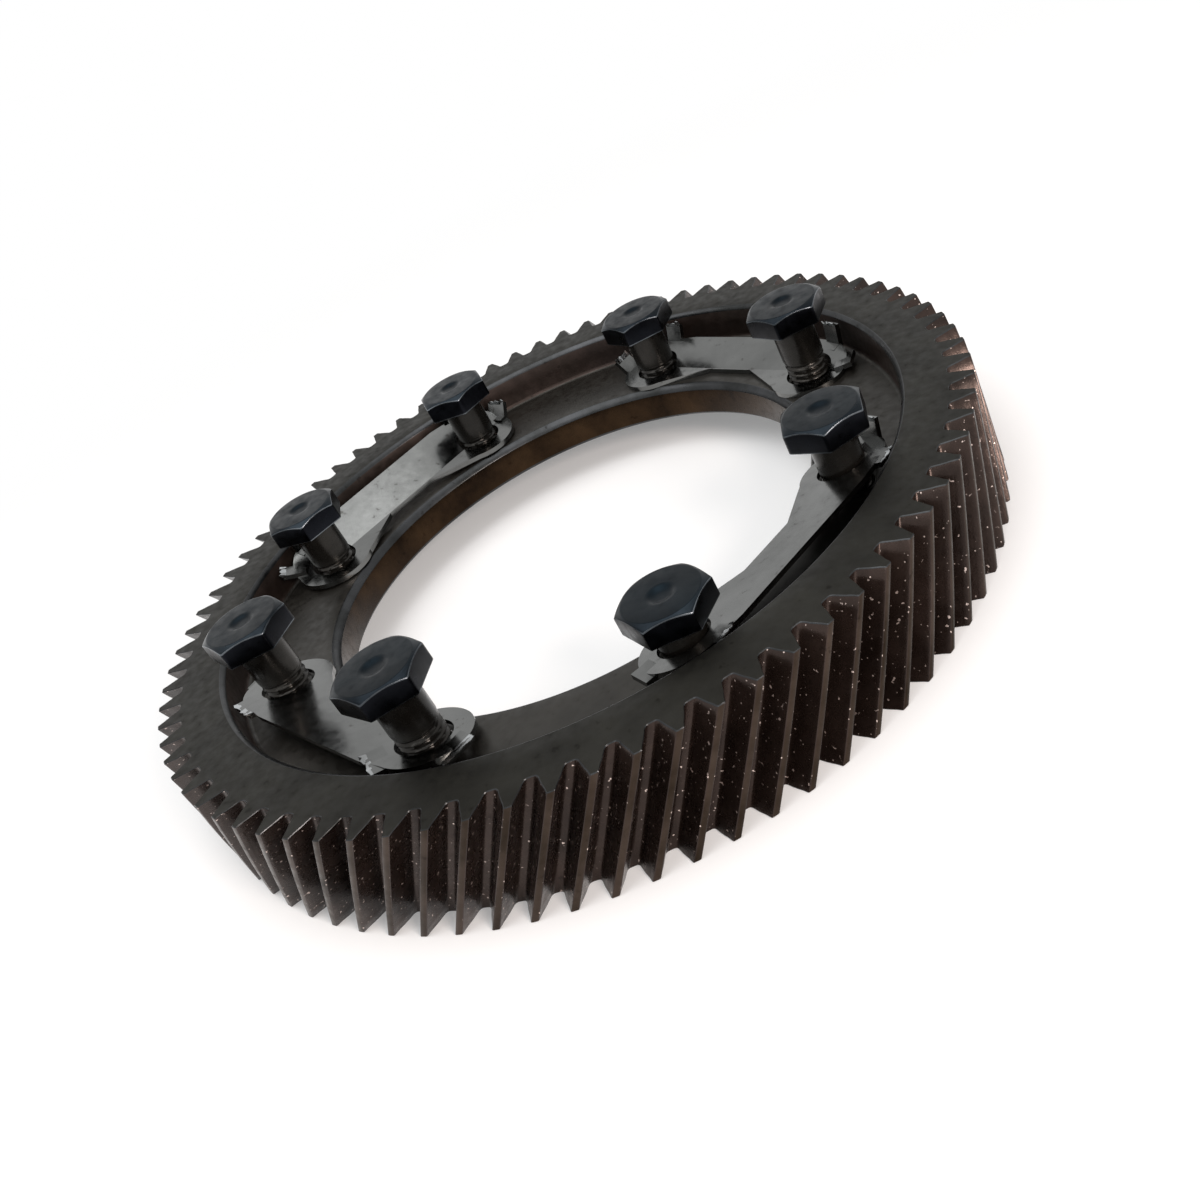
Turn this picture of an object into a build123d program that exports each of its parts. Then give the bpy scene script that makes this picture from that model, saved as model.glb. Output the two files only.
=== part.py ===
from build123d import *
import os
from math import cos, sin, radians, sqrt, tan

os.makedirs("parts", exist_ok=True)

# Final drive ring gear: external helical teeth on a ring, a web with eight
# tapped holes between two recesses, eight hexagon bolts run part of the way in,
# and four lock plates, each held loosely under two bolt heads.
# Origin: on the gear's axis, in the plane of the lower face. +Z is the axis.

# ---- gear, millimetres and degrees ----
TEETH = 79
FACE_WIDTH = 26.8
TIP_RADIUS = 97.0
ROOT_RADIUS = 91.6
HELIX_TURN = 9.61          # turn of one tooth over the face width, right-hand helix
TOOTH_START = -9.38        # direction of a tooth's centre line on the lower face
SLICES = 3                 # the helix is drawn in this many straight steps

# half thickness of a tooth as a share of the pitch, at three radii
TIP_HALF_SHARE = 0.11
MID_RADIUS = 94.5
MID_HALF_SHARE = 0.215
FOOT_HALF_SHARE = 0.35      # at the root circle

RECESS_RADIUS = 81.3
RECESS_DEPTH = 8.9
MOUTH_CHAMFER = 0.9
FOOT_FILLET = 1.2
BORE_RADIUS = 58.3
BORE_CHAMFER_TOP = 1.4
BORE_CHAMFER_BOTTOM = 0.8
WEB_TOP = FACE_WIDTH - RECESS_DEPTH
WEB_BOTTOM = RECESS_DEPTH

# ---- bolts ----
BOLT_COUNT = 8
BOLT_CIRCLE_RADIUS = 69.0
BOLT_PITCH_ANGLE = 360 / BOLT_COUNT
HOLE_RADIUS = 5.0
HOLE_CHAMFER = 0.5
THREAD_RADIUS = 4.9
LENGTH_UNDER_HEAD = 25.0
TIP_CHAMFER = 0.9
HEAD_ACROSS_FLATS = 16.6
HEAD_HEIGHT = 5.2
HEAD_CROWN_RADIUS = 7.9    # flat circle left on top by the corner chamfer
HEAD_CHAMFER_ANGLE = 30

# height of each head's top over the gear's upper face, and the head's turn,
# for the bolts at 0, 45, 90 ... degrees
HEAD_TOP_HEIGHTS = (9.9, 13.8, 14.1, 6.4, 9.4, 11.4, 9.3, 9.8)
HEAD_TURNS = (5, 35, 42, 26, 47, 32, 33, 10)

# ---- lock plates ----
PLATE_THICKNESS = 1.2
PLATE_HOLE_RADIUS = 5.75
PLATE_END_RADIUS = 9.7
WAIST_OFFSET = -0.3        # straight inner edge between the holes, from their line
WAIST_HALF_LENGTH = 7.2
OUTER_OFFSET = 10.6        # straight outer edge, from the line of holes
OUTER_HALF_LENGTH = 20.0
CHORD_RADIUS = BOLT_CIRCLE_RADIUS * cos(radians(BOLT_PITCH_ANGLE / 2))
HALF_HOLE_SPAN = BOLT_CIRCLE_RADIUS * sin(radians(BOLT_PITCH_ANGLE / 2))
SHEET_REACH = 16.0         # half width of the sheet before it is cut to outline
TAB_START = 7.0            # a tab's strip begins this far from the hole's centre

# middle direction of each plate, height of its upper side over the line of
# holes, and the slopes of its inner and outer parts, which a crease divides
PLATE_SEATS = (
    (337.5, 20.3, 5, 27),
    (67.5, 22.5, 12, 12),
    (157.5, 22.5, 12, 12),
    (247.5, 19.15, 0, 13.5),
)

# lock tabs of each plate: side of the hole (1 or -1), direction from straight
# outward towards that end, bend radius, rise of the tab, its length and width
PLATE_TABS = (
    (
        (1, 58, 8.6, 20, 3.9, 4.6),
        (1, 12, 8.8, 76, 4.0, 4.5),
        (-1, 82, 8.8, 60, 3.8, 6.0),
        (-1, 5, 8.8, 50, 2.6, 6.0),
    ),
    (
        (1, 90, 9.0, 4, 2.0, 8.0),
        (1, -18, 9.0, 12, 2.0, 8.0),
        (-1, 3, 9.0, 12, 1.9, 7.6),
        (-1, 78, 9.0, 10, 1.6, 6.0),
    ),
    (
        (1, 85, 9.2, 80, 4.4, 5.0),
        (1, 8, 9.0, 12, 1.8, 5.4),
        (-1, -9, 9.0, 12, 1.6, 5.2),
        (-1, 100, 9.0, 2, 2.4, 5.0),
    ),
    (
        (1, 97, 8.9, 58, 4.4, 5.0),
        (1, 2, 9.0, 68, 4.6, 5.0),
        (-1, 12, 9.0, 80, 4.8, 4.5),
        (-1, 64, 9.0, 10, 2.2, 6.0),
    ),
)


def tooth_point(radius, half_share, side, centre):
    """Point on a tooth's flank at one radius."""
    turn = radians(centre + side * half_share * 360 / TEETH)
    return (radius * cos(turn), radius * sin(turn))


def gap_points(radius, share, centre):
    """The two facing flank points of the gap that follows one tooth."""
    following = centre + 360 / TEETH
    return (
        tooth_point(radius, share, 1, centre),
        tooth_point(radius, share, -1, following),
    )


# ---- ring gear ----
def outline_corners(height):
    """Toothed outline of one slice of the gear, turned as the helix has it."""
    turned = TOOTH_START + HELIX_TURN * height / FACE_WIDTH
    corners = []
    for tooth in range(TEETH):
        centre = turned + tooth * 360 / TEETH
        tip_a, tip_b = gap_points(TIP_RADIUS, TIP_HALF_SHARE, centre)
        mid_a, mid_b = gap_points(MID_RADIUS, MID_HALF_SHARE, centre)
        foot_a, foot_b = gap_points(ROOT_RADIUS, FOOT_HALF_SHARE, centre)
        corners += [tip_a, mid_a, foot_a, foot_b, mid_b, tip_b]
    return corners


with BuildPart() as ring_gear:
    # helical teeth: one outline carried up through turned slices
    for step in range(SLICES + 1):
        slice_height = step * FACE_WIDTH / SLICES
        with BuildSketch(Plane.XY.offset(slice_height)):
            with BuildLine():
                Polyline(*outline_corners(slice_height), close=True)
            make_face()
    loft(ruled=True)

    # one turned cut makes both recesses, their chamfered mouths and the bore
    with BuildSketch(Plane.XZ) as turned_cut:
        with BuildLine():
            Polyline(
                (0, 0),
                (RECESS_RADIUS + MOUTH_CHAMFER, 0),
                (RECESS_RADIUS, MOUTH_CHAMFER),
                (RECESS_RADIUS, WEB_BOTTOM),
                (BORE_RADIUS + BORE_CHAMFER_BOTTOM, WEB_BOTTOM),
                (BORE_RADIUS, WEB_BOTTOM + BORE_CHAMFER_BOTTOM),
                (BORE_RADIUS, WEB_TOP - BORE_CHAMFER_TOP),
                (BORE_RADIUS + BORE_CHAMFER_TOP, WEB_TOP),
                (RECESS_RADIUS, WEB_TOP),
                (RECESS_RADIUS, FACE_WIDTH - MOUTH_CHAMFER),
                (RECESS_RADIUS + MOUTH_CHAMFER, FACE_WIDTH),
                (0, FACE_WIDTH),
                close=True,
            )
        make_face()
        wall_feet = [
            vertex
            for vertex in turned_cut.vertices()
            if abs(vertex.X - RECESS_RADIUS) < 0.01
            and WEB_BOTTOM - 0.01 < vertex.Z < WEB_TOP + 0.01
        ]
        fillet(wall_feet, FOOT_FILLET)
    revolve(axis=Axis.Z, mode=Mode.SUBTRACT)

    with PolarLocations(BOLT_CIRCLE_RADIUS, BOLT_COUNT):
        Hole(HOLE_RADIUS)
    hole_rims = [
        edge
        for edge in ring_gear.edges().filter_by(GeomType.CIRCLE)
        if abs(edge.radius - HOLE_RADIUS) < 0.01
    ]
    chamfer(hole_rims, HOLE_CHAMFER)

ring_gear.part.label = "ring_gear"
export_step(ring_gear.part, "parts/ring_gear.step")

# ---- bolts ----
HEAD_CORNER_RADIUS = HEAD_ACROSS_FLATS / sqrt(3)
CORNER_DROP = (HEAD_CORNER_RADIUS - HEAD_CROWN_RADIUS) * tan(radians(HEAD_CHAMFER_ANGLE))


def make_bolt(name, direction, top_height, turn):
    """One bolt, its head's top a given height over the gear's upper face."""
    x = BOLT_CIRCLE_RADIUS * cos(radians(direction))
    y = BOLT_CIRCLE_RADIUS * sin(radians(direction))
    head_top = FACE_WIDTH + top_height
    head_seat = head_top - HEAD_HEIGHT
    tip = head_seat - LENGTH_UNDER_HEAD

    with BuildPart() as bolt:
        with BuildSketch(Plane.XY.offset(head_seat)):
            RegularPolygon(HEAD_CORNER_RADIUS, 6, rotation=turn)
        extrude(amount=HEAD_HEIGHT)

        # turned outline: the chamfered crown
        with BuildSketch(Plane.XZ):
            with BuildLine():
                Polyline(
                    (0, head_seat),
                    (HEAD_CORNER_RADIUS + 1, head_seat),
                    (HEAD_CORNER_RADIUS + 1, head_top - CORNER_DROP
                     - tan(radians(HEAD_CHAMFER_ANGLE))),
                    (HEAD_CROWN_RADIUS, head_top),
                    (0, head_top),
                    close=True,
                )
            make_face()
        revolve(axis=Axis.Z, mode=Mode.INTERSECT)

        # shank with its chamfered end
        with BuildSketch(Plane.XZ):
            with BuildLine():
                Polyline(
                    (0, head_seat),
                    (THREAD_RADIUS, head_seat),
                    (THREAD_RADIUS, tip + TIP_CHAMFER),
                    (THREAD_RADIUS - TIP_CHAMFER, tip),
                    (0, tip),
                    close=True,
                )
            make_face()
        revolve(axis=Axis.Z)

    bolt.part.position = (x, y, 0)
    bolt.part.label = name
    export_step(bolt.part, "parts/" + name + ".step")
    return bolt.part


for index in range(BOLT_COUNT):
    make_bolt(
        "bolt_" + str(index + 1),
        index * BOLT_PITCH_ANGLE,
        HEAD_TOP_HEIGHTS[index],
        HEAD_TURNS[index],
    )


# ---- lock plates ----
def sheet_height(offset, height, inner_slope, outer_slope):
    """Height of a plate's upper side at a distance outward of its holes."""
    slope = outer_slope if offset > 0 else inner_slope
    return height + offset * tan(radians(slope))


def make_lock_plate(name, seat, tabs):
    """One lock plate: a creased sheet cut to outline, with its raised tabs."""
    middle, height, inner_slope, outer_slope = seat

    with BuildPart() as plate:
        # side view of the creased sheet, drawn looking along the line of holes
        inner_height = sheet_height(-SHEET_REACH, height, inner_slope, outer_slope)
        outer_height = sheet_height(SHEET_REACH, height, inner_slope, outer_slope)
        with BuildSketch(Plane.XZ):
            with BuildLine():
                Polyline(
                    (CHORD_RADIUS - SHEET_REACH, inner_height),
                    (CHORD_RADIUS, height),
                    (CHORD_RADIUS + SHEET_REACH, outer_height),
                    (CHORD_RADIUS + SHEET_REACH, outer_height - PLATE_THICKNESS),
                    (CHORD_RADIUS, height - PLATE_THICKNESS),
                    (CHORD_RADIUS - SHEET_REACH, inner_height - PLATE_THICKNESS),
                    close=True,
                )
            make_face()
        extrude(amount=HALF_HOLE_SPAN + SHEET_REACH, both=True)

        # outline in plan: two round ends, a narrow waist and a straight outer edge
        with BuildSketch():
            with Locations(
                (CHORD_RADIUS, -HALF_HOLE_SPAN), (CHORD_RADIUS, HALF_HOLE_SPAN)
            ):
                Circle(PLATE_END_RADIUS)
            with BuildLine():
                Polyline(
                    (CHORD_RADIUS - PLATE_END_RADIUS + 0.35, -HALF_HOLE_SPAN + 2.5),
                    (CHORD_RADIUS + WAIST_OFFSET, -WAIST_HALF_LENGTH),
                    (CHORD_RADIUS + WAIST_OFFSET, WAIST_HALF_LENGTH),
                    (CHORD_RADIUS - PLATE_END_RADIUS + 0.35, HALF_HOLE_SPAN - 2.5),
                    (CHORD_RADIUS + PLATE_END_RADIUS, HALF_HOLE_SPAN),
                    (CHORD_RADIUS + OUTER_OFFSET, OUTER_HALF_LENGTH),
                    (CHORD_RADIUS + OUTER_OFFSET, -OUTER_HALF_LENGTH),
                    (CHORD_RADIUS + PLATE_END_RADIUS, -HALF_HOLE_SPAN),
                    close=True,
                )
            make_face()
        extrude(amount=2 * FACE_WIDTH, mode=Mode.INTERSECT)

        # lock tabs, each a strip bent up from the rim of the plate
        for side, toward_end, bend, rise, length, width in tabs:
            turn = radians(side * toward_end)
            lift = radians(rise)
            outward = cos(turn)
            start_height = sheet_height(
                TAB_START * outward, height, inner_slope, outer_slope
            )
            bend_height = sheet_height(bend * outward, height, inner_slope, outer_slope)
            end_reach = bend + length * cos(lift)
            end_height = bend_height + length * sin(lift)
            strip_plane = Plane(
                origin=(CHORD_RADIUS, side * HALF_HOLE_SPAN, 0),
                x_dir=(cos(turn), sin(turn), 0),
                z_dir=(sin(turn), -cos(turn), 0),
            )
            with BuildSketch(strip_plane):
                with BuildLine():
                    Polyline(
                        (TAB_START, start_height),
                        (bend, bend_height),
                        (end_reach, end_height),
                        (
                            end_reach + PLATE_THICKNESS * sin(lift),
                            end_height - PLATE_THICKNESS * cos(lift),
                        ),
                        (
                            bend + PLATE_THICKNESS * tan(lift / 2),
                            bend_height - PLATE_THICKNESS,
                        ),
                        (TAB_START, start_height - PLATE_THICKNESS),
                        close=True,
                    )
                make_face()
            extrude(amount=width / 2, both=True)

        with Locations(
            (CHORD_RADIUS, -HALF_HOLE_SPAN), (CHORD_RADIUS, HALF_HOLE_SPAN)
        ):
            Hole(PLATE_HOLE_RADIUS)

    plate.part.orientation = (0, 0, middle)
    plate.part.label = name
    export_step(plate.part, "parts/" + name + ".step")
    return plate.part


for index in range(len(PLATE_SEATS)):
    make_lock_plate(
        "lock_plate_" + str(index + 1), PLATE_SEATS[index], PLATE_TABS[index]
    )
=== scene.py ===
# %% [markdown]
# # A helical ring gear with its bolts and lock plates
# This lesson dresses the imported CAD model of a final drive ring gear: a ring of
# slanted teeth, a recessed web, eight hexagon bolts turned part of the way in,
# and four thin lock plates that hang loosely under the bolt heads. Every length
# is in metres and every piece is made where the CAD model already has it, so
# nothing has to be fitted by eye.

import math

import bpy
import numpy as np
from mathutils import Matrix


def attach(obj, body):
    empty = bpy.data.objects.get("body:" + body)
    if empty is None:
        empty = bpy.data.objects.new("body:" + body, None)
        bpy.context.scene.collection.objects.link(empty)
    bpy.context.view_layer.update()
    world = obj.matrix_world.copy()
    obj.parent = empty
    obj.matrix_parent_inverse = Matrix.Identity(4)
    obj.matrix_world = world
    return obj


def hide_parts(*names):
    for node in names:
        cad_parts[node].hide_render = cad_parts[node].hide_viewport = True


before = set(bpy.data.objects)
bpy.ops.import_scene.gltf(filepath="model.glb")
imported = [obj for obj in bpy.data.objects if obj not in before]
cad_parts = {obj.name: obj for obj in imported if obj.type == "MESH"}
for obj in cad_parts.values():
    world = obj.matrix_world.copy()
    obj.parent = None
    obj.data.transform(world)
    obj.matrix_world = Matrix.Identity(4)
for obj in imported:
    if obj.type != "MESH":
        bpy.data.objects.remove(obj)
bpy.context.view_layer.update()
print("CAD nodes:", sorted(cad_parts))

# %% [markdown]
# ## The camera
# The camera comes first, because it decides how fine each piece has to be. It
# looks down on the gear at about 30 degrees from one side, and it is rolled, so
# the ring climbs towards the upper right. The lens is a little wide, which
# makes the near teeth larger than the far ones.

# %% Camera
MM = 0.001

camera_data = bpy.data.cameras.new("camera")
camera_data.sensor_width = 36.0
camera_data.lens = 38.143
camera_data.shift_x = -0.0973
camera_data.shift_y = -0.0329
camera_data.clip_start = 0.01
camera_data.clip_end = 20.0
camera = bpy.data.objects.new("camera", camera_data)
camera.location = (-159.0 * MM, 205.2 * MM, 151.9 * MM)
camera.rotation_euler = [math.radians(turn) for turn in (55.505, 22.064, -162.765)]
bpy.context.scene.collection.objects.link(camera)
bpy.context.scene.camera = camera
bpy.context.scene.view_settings.view_transform = "Standard"
print("camera stands", round(camera.location.length, 3), "m from the origin")

# %% [markdown]
# ## Colours and nodes
# Steel colours are easiest to write as the hex values that a paint chart would
# give. Blender's shaders work in linear light, so one function turns each hex
# value to linear. A second small function adds a shader node, sets its values
# and links its inputs, which keeps each material readable as a recipe.


# %% Colour and node helpers
def linear(hex_value, alpha=1.0):
    """sRGB hex such as '4A4238' to a linear RGBA tuple."""
    channels = [int(hex_value[i : i + 2], 16) / 255 for i in (0, 2, 4)]
    return tuple(
        c / 12.92 if c <= 0.04045 else ((c + 0.055) / 1.055) ** 2.4 for c in channels
    ) + (alpha,)


def add_node(tree, kind, settings=None, inputs=None, stops=()):
    """A shader node with its settings, values, links and any colour stops."""
    node = tree.nodes.new(kind)
    for key, value in (settings or {}).items():
        setattr(node, key, value)
    for key, value in (inputs or {}).items():
        socket = node.inputs[key]
        if isinstance(value, bpy.types.NodeSocket):
            tree.links.new(value, socket)
        else:
            socket.default_value = value
    for index, (position, colour) in enumerate(stops):
        element = node.color_ramp.elements[index]
        element.position = position
        element.color = colour
    return node


def new_material(name):
    """An empty material with a Principled shader wired to its output."""
    material = bpy.data.materials.new(name)
    material.use_nodes = True
    tree = material.node_tree
    tree.nodes.clear()
    output = add_node(tree, "ShaderNodeOutputMaterial")
    shader = add_node(tree, "ShaderNodeBsdfPrincipled")
    tree.links.new(shader.outputs["BSDF"], output.inputs["Surface"])
    place = add_node(tree, "ShaderNodeTexCoord").outputs["Object"]
    return material, tree, shader, place


def grey(level):
    """A ramp stop's colour for a plain number."""
    return (level, level, level, 1.0)


def per_metre(millimetres):
    """Noise scale whose features are about this many millimetres across."""
    return 1.0 / (millimetres * MM)


print("white is", linear("FFFFFF"))

# %% [markdown]
# ## Heat-treated gear steel
# The gear is carburised and hardened alloy steel. Hardening leaves it a matt,
# slightly olive grey-brown, and a film of gear oil darkens it. Fine blotches of
# 2 to 15 mm vary the colour, a fine grain breaks up the gloss, and a few dark
# spots show where oil has dried. The same recipe serves every metal in the
# scene, with different colours and gloss.


# %% Gear steel recipe
CLOUD_SIZE = 14.0  # mm, the widest blotches of colour
SPOT_SIZE = 2.2  # mm, the dried oil spots and the patches of gloss
GRAIN_HEIGHT = 0.05  # mm
OIL_SPOT = "6B5E52"


def hardened_steel(
    name, dark, light, rough_low, rough_high, grain=0.25, bump=0.12, metal=1.0
):
    """Metal with cloudy colour, uneven gloss and a fine grain."""
    material, tree, shader, place = new_material(name)
    clouds = add_node(
        tree,
        "ShaderNodeTexNoise",
        inputs={
            "Vector": place,
            "Scale": per_metre(CLOUD_SIZE),
            "Detail": 6,
            "Roughness": 0.6,
        },
    )
    colour = add_node(
        tree,
        "ShaderNodeValToRGB",
        inputs={"Fac": clouds.outputs["Fac"]},
        stops=((0.34, linear(dark)), (0.68, linear(light))),
    ).outputs["Color"]
    spots = add_node(
        tree,
        "ShaderNodeTexNoise",
        inputs={"Vector": place, "Scale": per_metre(SPOT_SIZE), "Detail": 3},
    )
    spot_mask = add_node(
        tree,
        "ShaderNodeValToRGB",
        inputs={"Fac": spots.outputs["Fac"]},
        stops=((0.66, grey(0.0)), (0.74, grey(0.55))),
    ).outputs["Color"]
    spotted = add_node(
        tree,
        "ShaderNodeMix",
        {"data_type": "RGBA", "blend_type": "MULTIPLY"},
        {"Factor": spot_mask, "A": colour, "B": linear(OIL_SPOT)},
    )
    gloss = add_node(
        tree,
        "ShaderNodeMapRange",
        inputs={
            "Value": spots.outputs["Fac"],
            "From Min": 0.3,
            "From Max": 0.7,
            "To Min": rough_low,
            "To Max": rough_high,
        },
    )
    grains = add_node(
        tree,
        "ShaderNodeTexNoise",
        inputs={"Vector": place, "Scale": per_metre(grain), "Detail": 2},
    )
    relief = add_node(
        tree,
        "ShaderNodeBump",
        inputs={
            "Height": grains.outputs["Fac"],
            "Strength": bump,
            "Distance": GRAIN_HEIGHT * MM,
        },
    )
    shader.inputs["Metallic"].default_value = metal
    tree.links.new(spotted.outputs["Result"], shader.inputs["Base Color"])
    tree.links.new(gloss.outputs["Result"], shader.inputs["Roughness"])
    tree.links.new(relief.outputs["Normal"], shader.inputs["Normal"])
    return material


SCALE = 0.7  # share of clean metal where a thin skin of scale and oil is left

face_steel = hardened_steel("hardened_face_steel", "201F1C", "2C2B27", 0.42, 0.6)
web_steel = hardened_steel(
    "oily_web_steel", "23211D", "32302C", 0.3, 0.52, metal=SCALE
)
wall_steel = hardened_steel(
    "turned_wall_steel", "2C2521", "403531", 0.3, 0.5, metal=SCALE
)
edge_steel = hardened_steel("broken_edge_steel", "2D2E2E", "424345", 0.25, 0.4)
land_steel = hardened_steel("tooth_land_steel", "282018", "493E37", 0.25, 0.45)
bore_steel = hardened_steel("ground_bore_steel", "1F1711", "392B1E", 0.16, 0.34)
flank_steel = hardened_steel(
    "hobbed_flank_steel", "231A16", "3C302B", 0.2, 0.36, 0.35, 0.5, metal=SCALE
)
print("gear finishes made")

# %% [markdown]
# The tooth flanks carry painted highlights: tiny bright specks less than a millimetre
#  across, painted into the base colour as glints of light. They are a second colour,
#  mixed in where a fine noise is at its highest, so they stay rare and scattered.

# %% Painted highlight specks on the flanks
HIGHLIGHT_SPECK_SIZE = 0.8  # mm
# painted highlight: a bright pinkish colour for glints on the flanks
PAINTED_HIGHLIGHT_COLOUR = "D8C6BE"

flank_tree = flank_steel.node_tree
flank_shader = flank_tree.nodes["Principled BSDF"]
flank_colour = flank_shader.inputs["Base Color"].links[0].from_socket
highlight_speck_noise = add_node(
    flank_tree,
    "ShaderNodeTexNoise",
    inputs={
        "Vector": flank_tree.nodes["Texture Coordinate"].outputs["Object"],
        "Scale": per_metre(HIGHLIGHT_SPECK_SIZE),
        "Detail": 1,
    },
)
painted_highlight_mask = add_node(
    flank_tree,
    "ShaderNodeValToRGB",
    inputs={"Fac": highlight_speck_noise.outputs["Fac"]},
    stops=((0.7, grey(0.0)), (0.76, grey(1.0))),
).outputs["Color"]
flank_with_painted_highlights = add_node(
    flank_tree,
    "ShaderNodeMix",
    {"data_type": "RGBA"},
    {"Factor": painted_highlight_mask, "A": flank_colour, "B": linear(PAINTED_HIGHLIGHT_COLOUR)},
)
flank_tree.links.new(flank_with_painted_highlights.outputs["Result"], flank_shader.inputs["Base Color"])
# the bright specks on the flanks are painted highlights
print("oil beads added to", flank_steel.name)

# %% [markdown]
# ## The gear's mesh
# A gear tooth is drawn once, as the half width of the tooth at each radius, and
# every other tooth is a copy of it. The teeth are a right-hand helix: a slice
# of the gear turns by 9.61 degrees from the lower face to the upper one. The
# inside of the ring, with its recesses, web and bore, is turned on a lathe, so
# it is one profile carried round the axis. Both share the same columns of
# points, so the whole ring is one closed skin of quads with no seams.

# %% Gear dimensions
TEETH = 79
PITCH = 360.0 / TEETH
FACE_WIDTH = 26.8
HELIX_TURN = 9.61
TOOTH_START = -9.38  # degrees from the X axis to a tooth's centre, lower face
RECESS_RADIUS = 81.3
WEB_TOP = 17.9
WEB_BOTTOM = 8.9
BORE_RADIUS = 58.3

# radius in mm and share of the pitch from the tooth's centre to its flank
HALF_TOOTH = (
    (97.0, 0.0),
    (97.0, 0.075),
    (96.9, 0.1),
    (96.6, 0.117),
    (96.0, 0.14),
    (95.5, 0.162),
    (94.6, 0.212),
    (93.6, 0.262),
    (92.6, 0.304),
    (92.1, 0.328),
    (91.8, 0.358),
    (91.64, 0.4),
    (91.6, 0.45),
    (91.6, 0.5),
)

one_tooth = [(r, -s) for r, s in reversed(HALF_TOOTH[1:-1])] + list(HALF_TOOTH)
tooth_radii = np.array([r for tooth in range(TEETH) for r, _ in one_tooth])
tooth_turns = np.array(
    [(tooth + s) * PITCH for tooth in range(TEETH) for _, s in one_tooth]
)
COLUMNS = len(tooth_radii)
print("columns round the gear:", COLUMNS)

# %% [markdown]
# The outline is walked in the plane to find which way is outward at each point.
# Pushing the points back along that direction gives the slightly smaller
# outline at both ends of the teeth, where the sharp edges were broken.


# %% Outline rows
def outline_row(height, inset):
    """The toothed outline at one height, pushed in by a small inset."""
    turns = np.radians(TOOTH_START + tooth_turns)
    x, y = tooth_radii * np.cos(turns), tooth_radii * np.sin(turns)
    along_x = np.roll(x, -1) - np.roll(x, 1)
    along_y = np.roll(y, -1) - np.roll(y, 1)
    length = np.hypot(along_x, along_y)
    x, y = x - inset * along_y / length, y + inset * along_x / length
    twist = math.radians(HELIX_TURN * height / FACE_WIDTH)
    return np.column_stack(
        (
            x * math.cos(twist) - y * math.sin(twist),
            x * math.sin(twist) + y * math.cos(twist),
            np.full(COLUMNS, height),
        )
    )


def lathe_row(radius, height):
    """A circle with the same columns as the outline."""
    twist = HELIX_TURN * height / FACE_WIDTH
    turns = np.radians(TOOTH_START + tooth_turns + twist)
    return np.column_stack(
        (radius * np.cos(turns), radius * np.sin(turns), np.full(COLUMNS, height))
    )


EDGE_BREAK = 0.16
HELIX_ROWS = 13
tooth_rows = [outline_row(0.0, EDGE_BREAK)]
for height in np.linspace(EDGE_BREAK, FACE_WIDTH - EDGE_BREAK, HELIX_ROWS):
    tooth_rows.append(outline_row(height, 0.0))
tooth_rows.append(outline_row(FACE_WIDTH, EDGE_BREAK))
print("rows along the teeth:", len(tooth_rows))

# %% [markdown]
# The lathe profile runs from the upper face over the recess, the web and the
# bore to the lower face. Each entry names the finish of the surface that leads
# to it. Short extra steps of 0.1 to 0.2 mm round the corners, which is what
# catches a thin line of light on real turned steel.

# %% Lathe profile
FACE, LAND, FLANK, EDGE, WALL, WEB, BORE = range(7)
gear_finishes = [
    face_steel,
    land_steel,
    flank_steel,
    edge_steel,
    wall_steel,
    web_steel,
    bore_steel,
]
FILLET = 1.2
foot = [
    (RECESS_RADIUS - FILLET + FILLET * math.cos(t), FILLET - FILLET * math.sin(t))
    for t in np.radians((20, 45, 70))
]
upper_half = [
    (90.3, FACE_WIDTH, FACE),
    (86.4, FACE_WIDTH, FACE),
    (82.35, FACE_WIDTH, FACE),
    (82.15, 26.74, EDGE),
    (81.38, 25.98, EDGE),
    (RECESS_RADIUS, 25.8, EDGE),
    (RECESS_RADIUS, 22.4, WALL),
    (RECESS_RADIUS, WEB_TOP + FILLET, WALL),
    (foot[0][0], WEB_TOP + foot[0][1], WALL),
    (foot[1][0], WEB_TOP + foot[1][1], WALL),
    (foot[2][0], WEB_TOP + foot[2][1], WEB),
    (80.1, WEB_TOP, WEB),
    (75.0, WEB_TOP, WEB),
    (63.0, WEB_TOP, WEB),
    (59.9, WEB_TOP, WEB),
    (59.66, 17.84, EDGE),
    (58.36, 16.56, EDGE),
    (BORE_RADIUS, 16.35, EDGE),
]
lower_half = [
    (BORE_RADIUS, 9.8, BORE),
    (58.34, 9.64, EDGE),
    (59.0, 8.95, EDGE),
    (59.2, WEB_BOTTOM, EDGE),
    (63.0, WEB_BOTTOM, WEB),
    (75.0, WEB_BOTTOM, WEB),
    (80.1, WEB_BOTTOM, WEB),
    (foot[2][0], WEB_BOTTOM - foot[2][1], WEB),
    (foot[1][0], WEB_BOTTOM - foot[1][1], WALL),
    (foot[0][0], WEB_BOTTOM - foot[0][1], WALL),
    (RECESS_RADIUS, WEB_BOTTOM - FILLET, WALL),
    (RECESS_RADIUS, 4.4, WALL),
    (RECESS_RADIUS, 1.0, WALL),
    (81.38, 0.82, EDGE),
    (82.15, 0.06, EDGE),
    (82.35, 0.0, EDGE),
    (86.4, 0.0, FACE),
    (90.3, 0.0, FACE),
]
lathe_profile = upper_half + lower_half
print("steps in the lathe profile:", len(lathe_profile))

# %% [markdown]
# ## From rows of points to a mesh
# Each row of points is joined to the next by quads, and the last row is joined
# to the first, which closes the ring. Sharp corners keep a crisp edge and
# everything flatter than 32 degrees is shaded smooth.


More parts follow.
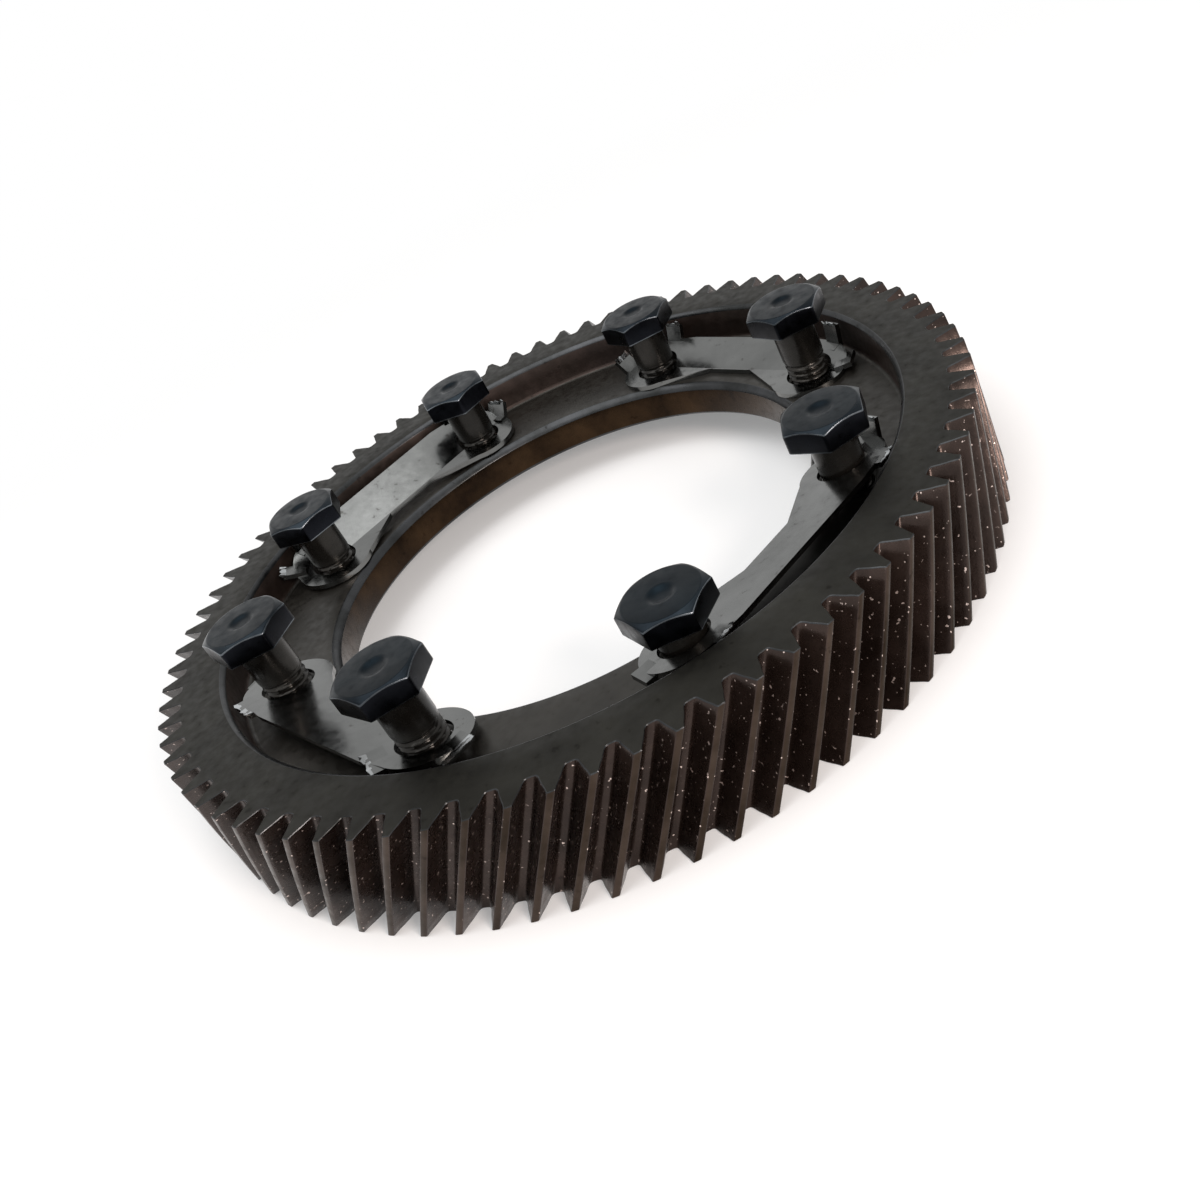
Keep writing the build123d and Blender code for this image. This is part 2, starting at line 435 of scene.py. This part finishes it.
# %% Mesh helpers
def mesh_piece(name, points, faces, finishes, finish_of_face=None, smooth=32):
    """An object from points in mm, with its finishes and smooth shading."""
    mesh = bpy.data.meshes.new(name)
    mesh.from_pydata((np.asarray(points, float) * MM).tolist(), [], faces)
    for finish in finishes:
        mesh.materials.append(finish)
    if finish_of_face is not None:
        mesh.polygons.foreach_set("material_index", finish_of_face)
    mesh.validate()
    mesh.shade_smooth()
    mesh.set_sharp_from_angle(angle=math.radians(smooth))
    piece = bpy.data.objects.new(name, mesh)
    bpy.context.scene.collection.objects.link(piece)
    return piece


def skin_faces(rows, columns, closed_rows=False):
    """Quads between neighbouring rows, each row closed on itself."""
    faces = []
    last = rows if closed_rows else rows - 1
    for row in range(last):
        here = row * columns
        there = ((row + 1) % rows) * columns
        for column in range(columns):
            beside = (column + 1) % columns
            faces.append((here + column, here + beside, there + beside, there + column))
    return faces


print("mesh helpers ready")

# %% [markdown]
# The outline rows and the lathe rows make one stack. Each strip between two rows
# gets its finish from the profile, and along the teeth the narrow lands at the
# tips get a finish of their own.

# %% Gear ring
LAND_RADIUS = 96.9  # mm, a strip that stays above it is a tooth's land

all_rows = tooth_rows + [lathe_row(r, z) for r, z, _ in lathe_profile]
gear_points = np.vstack(all_rows)
gear_quads = skin_faces(len(all_rows), COLUMNS, closed_rows=True)

land_column = np.minimum(tooth_radii, np.roll(tooth_radii, -1)) > LAND_RADIUS
finish_rows = []
for row in range(len(tooth_rows) - 1):
    finish_rows.append(np.where(land_column, LAND, FLANK))
finish_rows[0] = np.full(COLUMNS, EDGE)
finish_rows[-1] = np.full(COLUMNS, EDGE)
for _, _, finish in lathe_profile:
    finish_rows.append(np.full(COLUMNS, finish))
finish_rows.append(np.full(COLUMNS, FACE))
gear = mesh_piece(
    "ring_gear_skin",
    gear_points,
    gear_quads,
    gear_finishes,
    np.concatenate(finish_rows).astype(int),
)
print("gear quads:", len(gear_quads))

# %% [markdown]
# ## Tapped holes
# The web has eight tapped holes for the bolts. A Boolean modifier cuts them with
# cylinders that flare at both ends, which leaves a small chamfer round each
# hole. The cut mesh then takes the place of the first one, so no cutter is left
# in the scene.

# %% Cut the holes
BOLTS = 8
BOLT_CIRCLE = 69.0
HOLE_RADIUS = 5.0
HOLE_SIDES = 48
HOLE_CHAMFER = 0.5
CUTTER_RISE = 0.9  # mm, how far the cutter's cones reach past the web
cutter_rings = (
    (WEB_BOTTOM - CUTTER_RISE, HOLE_RADIUS + HOLE_CHAMFER + CUTTER_RISE),
    (WEB_BOTTOM + HOLE_CHAMFER, HOLE_RADIUS),
    (WEB_TOP - HOLE_CHAMFER, HOLE_RADIUS),
    (WEB_TOP + CUTTER_RISE, HOLE_RADIUS + HOLE_CHAMFER + CUTTER_RISE),
)

cutter_points, cutter_faces = [], []
for bolt in range(BOLTS):
    turn = math.radians(45 * bolt)
    centre = np.array((BOLT_CIRCLE * math.cos(turn), BOLT_CIRCLE * math.sin(turn)))
    first = len(cutter_points)
    for height, radius in cutter_rings:
        for side in range(HOLE_SIDES):
            around = 2 * math.pi * side / HOLE_SIDES
            x = centre[0] + radius * math.cos(around)
            y = centre[1] + radius * math.sin(around)
            cutter_points.append((x, y, height))
    for quad in skin_faces(len(cutter_rings), HOLE_SIDES):
        cutter_faces.append(tuple(first + corner for corner in quad))
    cutter_faces.append(tuple(first + side for side in reversed(range(HOLE_SIDES))))
    top = len(cutter_points) - HOLE_SIDES
    cutter_faces.append(tuple(top + side for side in range(HOLE_SIDES)))
cutter = mesh_piece("hole_cutter", cutter_points, cutter_faces, [web_steel])
boolean = gear.modifiers.new("tapped_holes", "BOOLEAN")
boolean.object = cutter
boolean.operation = "DIFFERENCE"
boolean.solver = "EXACT"
bpy.context.view_layer.update()
depsgraph = bpy.context.evaluated_depsgraph_get()
cut_mesh = bpy.data.meshes.new_from_object(gear.evaluated_get(depsgraph))
gear.modifiers.clear()
gear.data = cut_mesh
bpy.data.objects.remove(cutter)
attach(gear, "root")
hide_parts("ring_gear")
print("gear faces with holes:", len(cut_mesh.polygons))

# %% [markdown]
# ## Blackened bolts
# The bolts are steel with a black oxide finish: a blue-black skin a thousandth
# of a millimetre thick, with oil in it. It is glossy on the smooth forged top
# and worn through to bright steel along the edges of the chamfer, where
# spanners have rubbed.


# %% Bolt finishes
oxide_top = hardened_steel("black_oxide_top", "0C1115", "151C21", 0.32, 0.5)
oxide_side = hardened_steel("black_oxide_side", "111215", "1F2126", 0.25, 0.42)
oxide_chamfer = hardened_steel("black_oxide_chamfer", "14181C", "242A2F", 0.25, 0.4)
oxide_edge = hardened_steel("worn_oxide_edge", "272B2F", "6D7277", 0.2, 0.38)
oxide_thread = hardened_steel(
    "oily_thread_steel", "171614", "2A2825", 0.18, 0.34, metal=SCALE
)
print("bolt finishes made")

# %% [markdown]
# ## The bolts' mesh
# A bolt is nearly a turned part, so it is built as rings of points from the
# centre of the head down to the tip. In the head each ring is pulled out to a
# hexagon, whose distance from the axis depends on the direction. The 30 degree
# chamfer then cuts the hexagon in the curved arcs that every bolt head has. In
# the thread each ring's radius follows a 1.5 mm helix.

# %% Bolt dimensions
AROUND = 144
ACROSS_FLATS = 16.6
HEAD_HEIGHT = 5.2
CROWN_RADIUS = 7.9
CHAMFER_SLOPE = math.tan(math.radians(30))
DIMPLE = ((0.0, 0.62), (1.0, 0.62), (1.9, 0.5), (2.4, 0.2), (2.75, 0.03))
SHANK_RADIUS = 5.0
SHANK_LENGTH = 9.2
UNDER_HEAD = 25.0
THREAD_RADIUS = 4.9
THREAD_DEPTH = 0.85
THREAD_PITCH = 1.5
RINGS_PER_TURN = 8
TIP_CHAMFER = 0.9

# height of each head above the gear in mm, and its turn in degrees
HEAD_TOPS = (9.9, 13.8, 14.1, 6.4, 9.4, 11.4, 9.3, 9.8)
HEAD_TURNS = (5, 35, 42, 26, 47, 32, 33, 10)
directions = (np.arange(AROUND) + 0.5) * 2 * math.pi / AROUND


def hexagon_radius(turn):
    """Distance from the axis to the head's side in each direction."""
    sixth = math.pi / 3
    from_flat = np.mod(directions - math.radians(turn), sixth) - sixth / 2
    return ACROSS_FLATS / 2 / np.cos(from_flat)


print("bolt directions:", len(directions))

# %% [markdown]
# The rings run from the dimple in the middle of the head, over the chamfer and
# down the sides, and then along the shank and the thread. The thread starts
# shallow and reaches its full depth after one turn.


# %% Bolt rows
def bolt_rows(turn):
    """Rings of (radius, height) from the head's centre to the tip."""
    ones = np.ones(AROUND)
    side = hexagon_radius(turn)
    top, edge, flat, worn, shank, thread = 0, 1, 2, 3, 4, 5
    rows = []
    for radius, depth in DIMPLE:
        rows.append((radius * ones, -depth * ones, top))
    rows.append((3.3 * ones, 0 * ones, top))
    rows.append(((CROWN_RADIUS - 0.25) * ones, 0 * ones, top))
    rows.append((CROWN_RADIUS * ones, -0.03 * ones, top))
    for share in (0.25, 0.6, 0.9):
        radius = CROWN_RADIUS + share * (side - CROWN_RADIUS)
        rows.append((radius, -CHAMFER_SLOPE * (radius - CROWN_RADIUS) - 0.03, worn))
    drop = CHAMFER_SLOPE * (side - CROWN_RADIUS)
    rows.append((side - 0.02, -drop - 0.12, edge))
    rows.append((side, -drop - 0.28, edge))
    rows.append((side, -(HEAD_HEIGHT - 0.35) * ones, flat))
    rows.append((side - 0.06, -(HEAD_HEIGHT - 0.1) * ones, edge))
    rows.append((side - 0.3, -HEAD_HEIGHT * ones, edge))
    rows.append((SHANK_RADIUS * 1.1 * ones, -HEAD_HEIGHT * ones, flat))
    rows.append((SHANK_RADIUS * ones, -(HEAD_HEIGHT + 0.4) * ones, shank))
    end_of_shank = HEAD_HEIGHT + SHANK_LENGTH
    rows.append((SHANK_RADIUS * ones, -(end_of_shank - 0.4) * ones, shank))
    length = HEAD_HEIGHT + UNDER_HEAD
    for depth in np.arange(end_of_shank, length - 0.02, THREAD_PITCH / RINGS_PER_TURN):
        phase = np.mod(depth / THREAD_PITCH - directions / (2 * math.pi), 1.0)
        ridge = np.clip(1.35 * (1 - np.abs(2 * phase - 1)) - 0.12, 0, 1)
        run_in = min(1.0, (depth - end_of_shank) / THREAD_PITCH)
        radius = THREAD_RADIUS - run_in * THREAD_DEPTH * (1 - ridge)
        radius = np.minimum(radius, THREAD_RADIUS - TIP_CHAMFER + (length - depth))
        rows.append((radius, -depth * ones, thread))
    rows.append(((THREAD_RADIUS - 1.1) * ones, -length * ones, thread))
    rows.append((0 * ones, -length * ones, thread))
    return rows


def make_bolt(number):
    """One detailed bolt in place of its CAD node."""
    rows = bolt_rows(HEAD_TURNS[number])
    turn = math.radians(45 * number)
    head_top = FACE_WIDTH + HEAD_TOPS[number]
    points, finishes = [], []
    for radius, height, finish in rows:
        x = BOLT_CIRCLE * math.cos(turn) + radius * np.cos(directions)
        y = BOLT_CIRCLE * math.sin(turn) + radius * np.sin(directions)
        points.append(np.column_stack((x, y, head_top + height)))
        finishes.append(np.full(AROUND, finish))
    faces = [tuple(reversed(quad)) for quad in skin_faces(len(rows), AROUND)]
    bolt = mesh_piece(
        "bolt_%d_turned" % (number + 1),
        np.vstack(points),
        faces,
        [oxide_top, oxide_edge, oxide_side, oxide_chamfer, oxide_thread, oxide_thread],
        np.concatenate(finishes[1:]).astype(int),
        smooth=50,
    )
    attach(bolt, "root")
    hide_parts("bolt_%d" % (number + 1))
    return bolt


bolts = [make_bolt(number) for number in range(BOLTS)]
print("bolts:", len(bolts), "with", len(bolts[0].data.polygons), "faces each")

# %% [markdown]
# ## Lock plates
# The plates are punched from bright cold-rolled sheet 1.2 mm thick. Their shape
# is right in the CAD model, so those nodes stay and only get a finish and a
# small bevel, which rounds the punched edges.

# %% Lock plate finish
sheet_steel = hardened_steel(
    "cold_rolled_sheet", "606160", "6F706F", 0.14, 0.26, 0.5, 0.015
)
for number in range(1, 5):
    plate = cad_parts["lock_plate_%d" % number]
    plate.data.materials.clear()
    plate.data.materials.append(sheet_steel)
    bevel = plate.modifiers.new("rounded_edges", "BEVEL")
    bevel.width = 0.15 * MM
    bevel.segments = 2
    bevel.limit_method = "ANGLE"
    bevel.angle_limit = math.radians(35)
print("lock plates finished")

# %% [markdown]
# ## Torn tabs
# The lock tabs have been bent up against the heads and prised open again, so
# their ends are ragged and bright. Each torn end is a short strip of the same
# sheet whose far edge wanders in and out. It starts inside the tab, so it looks
# like part of it.

# %% Torn tab ends
torn_steel = hardened_steel("torn_sheet_steel", "828484", "BBBEC0", 0.16, 0.3, 0.4, 0.1)
CHORD = BOLT_CIRCLE * math.cos(math.radians(22.5))
HALF_SPAN = BOLT_CIRCLE * math.sin(math.radians(22.5))
SHEET = 1.2
TORN_STEPS = 9
ROOTED = 0.7  # mm that the strip reaches back into its tab
LEAST_TEAR, MORE_TEAR = 0.35, 0.75  # mm
LEAST_CURL, MORE_CURL = -0.15, 0.5  # mm
TORN_EDGE = 0.25  # mm, thickness left at the torn edge

# direction of the plate, end of the plate, direction of the tab, reach from the
# hole's centre, height of the tab's end, its rise and its width, mm and degrees
TORN_TABS = (
    (337.5, 1, 58, 12.1, 24.0, 20, 4.4),
    (337.5, 1, 12, 9.6, 28.4, 100, 4.3),
    (337.5, -1, 82, 10.6, 24.0, 75, 5.6),
    (67.5, 1, 90, 10.8, 22.6, 4, 7.6),
    (67.5, 1, -18, 10.8, 24.6, 12, 7.6),
    (67.5, -1, 3, 10.7, 24.7, 12, 7.2),
    (157.5, 1, 85, 9.9, 26.8, 95, 4.8),
    (157.5, 1, 8, 10.6, 24.6, 12, 5.0),
    (157.5, -1, -9, 10.4, 24.6, 12, 5.0),
    (247.5, 1, 97, 11.0, 22.7, 70, 4.8),
    (247.5, 1, 2, 10.6, 25.3, 82, 4.8),
    (247.5, -1, 12, 9.8, 25.7, 105, 4.3),
)
ragged = np.random.default_rng(7)


def torn_tab(number, middle, end, toward_end, reach, height, rise, width):
    """A ragged strip that carries a tab's torn end."""
    turn = math.radians(middle)
    aim = turn + math.radians(end * toward_end)
    hole = np.array(
        (
            CHORD * math.cos(turn) - end * HALF_SPAN * math.sin(turn),
            CHORD * math.sin(turn) + end * HALF_SPAN * math.cos(turn),
            0.0,
        )
    )
    out = np.array((math.cos(aim), math.sin(aim), 0.0))
    side = np.array((-math.sin(aim), math.cos(aim), 0.0))
    lift = math.radians(rise)
    along = out * math.cos(lift) + np.array((0, 0, math.sin(lift)))
    through = -out * math.sin(lift) + np.array((0, 0, math.cos(lift)))
    base = hole + out * reach + np.array((0, 0, height))
    rows = []
    for step in range(TORN_STEPS):
        across = (step / (TORN_STEPS - 1) - 0.5) * width
        length = LEAST_TEAR + MORE_TEAR * ragged.random()
        curl = LEAST_CURL + MORE_CURL * ragged.random()
        near = base + side * across - along * ROOTED
        far = base + side * across + along * length + through * curl
        rows.append(
            (
                near + through * 0.06,
                far,
                far - through * TORN_EDGE,
                near - through * (SHEET * 0.9),
            )
        )
    points = np.array(rows).reshape(-1, 3)
    faces = []
    for step in range(TORN_STEPS - 1):
        first, second = 4 * step, 4 * step + 4
        for corner in range(4):
            beside = (corner + 1) % 4
            faces.append(
                (first + corner, first + beside, second + beside, second + corner)
            )
    faces.append((3, 2, 1, 0))
    faces.append(tuple(4 * (TORN_STEPS - 1) + corner for corner in range(4)))
    piece = mesh_piece("torn_tab_%d" % number, points, faces, [torn_steel])
    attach(piece, "root")


for number, tab in enumerate(TORN_TABS, 1):
    torn_tab(number, *tab)
print("torn tab ends:", len(TORN_TABS))

# %% [markdown]
# ## Floor and light
# The gear lies on a plain pale floor, under one large soft light from above and
# a smaller one from the side that runs along the tooth flanks. The background
# is white to the camera and to reflections, and stays weak as a light.



# %% Rays that see white
def looking_rays(tree):
    """One where a camera, glossy or transmission ray looks, and else zero."""
    rays = add_node(tree, "ShaderNodeLightPath")
    total = rays.outputs["Is Camera Ray"]
    for kind in ("Is Glossy Ray", "Is Transmission Ray"):
        larger = add_node(
            tree,
            "ShaderNodeMath",
            {"operation": "MAXIMUM"},
            {0: total, 1: rays.outputs[kind]},
        )
        total = larger.outputs["Value"]
    return total


print("rays that look are sorted out")

# %% [markdown]
# The floor fades to plain white away from the gear, so it has no edge in view,
# and near the gear it keeps most of its shadow.

# %% Floor
FADE_START, FADE_END = 0.12, 0.4  # metres from the axis
LEAST_WHITE = 0.25

floor_material, floor_tree, floor_shader, floor_place = new_material("pale_floor")
floor_shader.inputs["Base Color"].default_value = linear("FAFAFA")
floor_shader.inputs["Roughness"].default_value = 0.9
reach = add_node(
    floor_tree, "ShaderNodeVectorMath", {"operation": "LENGTH"}, {0: floor_place}
)
fade = add_node(
    floor_tree,
    "ShaderNodeMapRange",
    inputs={
        "Value": reach.outputs["Value"],
        "From Min": FADE_START,
        "From Max": FADE_END,
        "To Min": LEAST_WHITE,
        "To Max": 1.0,
    },
)
floor_seen = add_node(
    floor_tree,
    "ShaderNodeMath",
    {"operation": "MULTIPLY"},
    {0: fade.outputs["Result"], 1: looking_rays(floor_tree)},
)
white_light = add_node(
    floor_tree,
    "ShaderNodeEmission",
    inputs={"Color": linear("FFFFFF"), "Strength": 1.0},
)
floor_mix = add_node(
    floor_tree,
    "ShaderNodeMixShader",
    inputs={
        0: floor_seen.outputs["Value"],
        1: floor_shader.outputs["BSDF"],
        2: white_light.outputs["Emission"],
    },
)
floor_tree.links.new(
    floor_mix.outputs["Shader"],
    floor_tree.nodes["Material Output"].inputs["Surface"],
)
FLOOR_HALF = 1.5
floor_mesh = bpy.data.meshes.new("floor")
floor_mesh.from_pydata(
    [
        (-FLOOR_HALF, -FLOOR_HALF, 0),
        (FLOOR_HALF, -FLOOR_HALF, 0),
        (FLOOR_HALF, FLOOR_HALF, 0),
        (-FLOOR_HALF, FLOOR_HALF, 0),
    ],
    [],
    [(0, 1, 2, 3)],
)
floor_mesh.materials.append(floor_material)
floor = bpy.data.objects.new("floor", floor_mesh)
floor.location.z = -0.05 * MM
bpy.context.scene.collection.objects.link(floor)
print("floor staged")

# %% [markdown]
# The world gives its full white only to the rays that look at it. All other rays
# get half, so the gear isn't flooded with light.

# %% World
world = bpy.data.worlds.new("studio")
bpy.context.scene.world = world
world.use_nodes = True
world_tree = world.node_tree
world_tree.nodes.clear()
WORLD_LIGHT = 0.5
strength = add_node(
    world_tree,
    "ShaderNodeMapRange",
    inputs={"Value": looking_rays(world_tree), "To Min": WORLD_LIGHT, "To Max": 1.0},
)
background = add_node(
    world_tree,
    "ShaderNodeBackground",
    inputs={"Color": linear("FFFFFF"), "Strength": strength.outputs["Result"]},
)
add_node(
    world_tree,
    "ShaderNodeOutputWorld",
    inputs={"Surface": background.outputs["Background"]},
)
print("world gives", WORLD_LIGHT, "of its white as light")

# %% [markdown]
# The lamps are squares of soft light, and each one is turned to face the origin.


# %% Lamps
def soft_lamp(name, place, size, power, colour="FFFFFF"):
    """A square area lamp that faces the gear."""
    data = bpy.data.lights.new(name, "AREA")
    data.size = size
    data.energy = power
    data.color = linear(colour)[:3]
    lamp = bpy.data.objects.new(name, data)
    lamp.location = place
    bpy.context.scene.collection.objects.link(lamp)
    direction = -lamp.location
    lamp.rotation_euler = direction.to_track_quat("-Z", "Y").to_euler()


soft_lamp("overhead", place=(0.1, 0.1, 0.9), size=0.9, power=5.5)
soft_lamp("side", place=(-0.6, 0.36, 0.34), size=0.22, power=4.5, colour="FFEFE6")
print("lamps set")
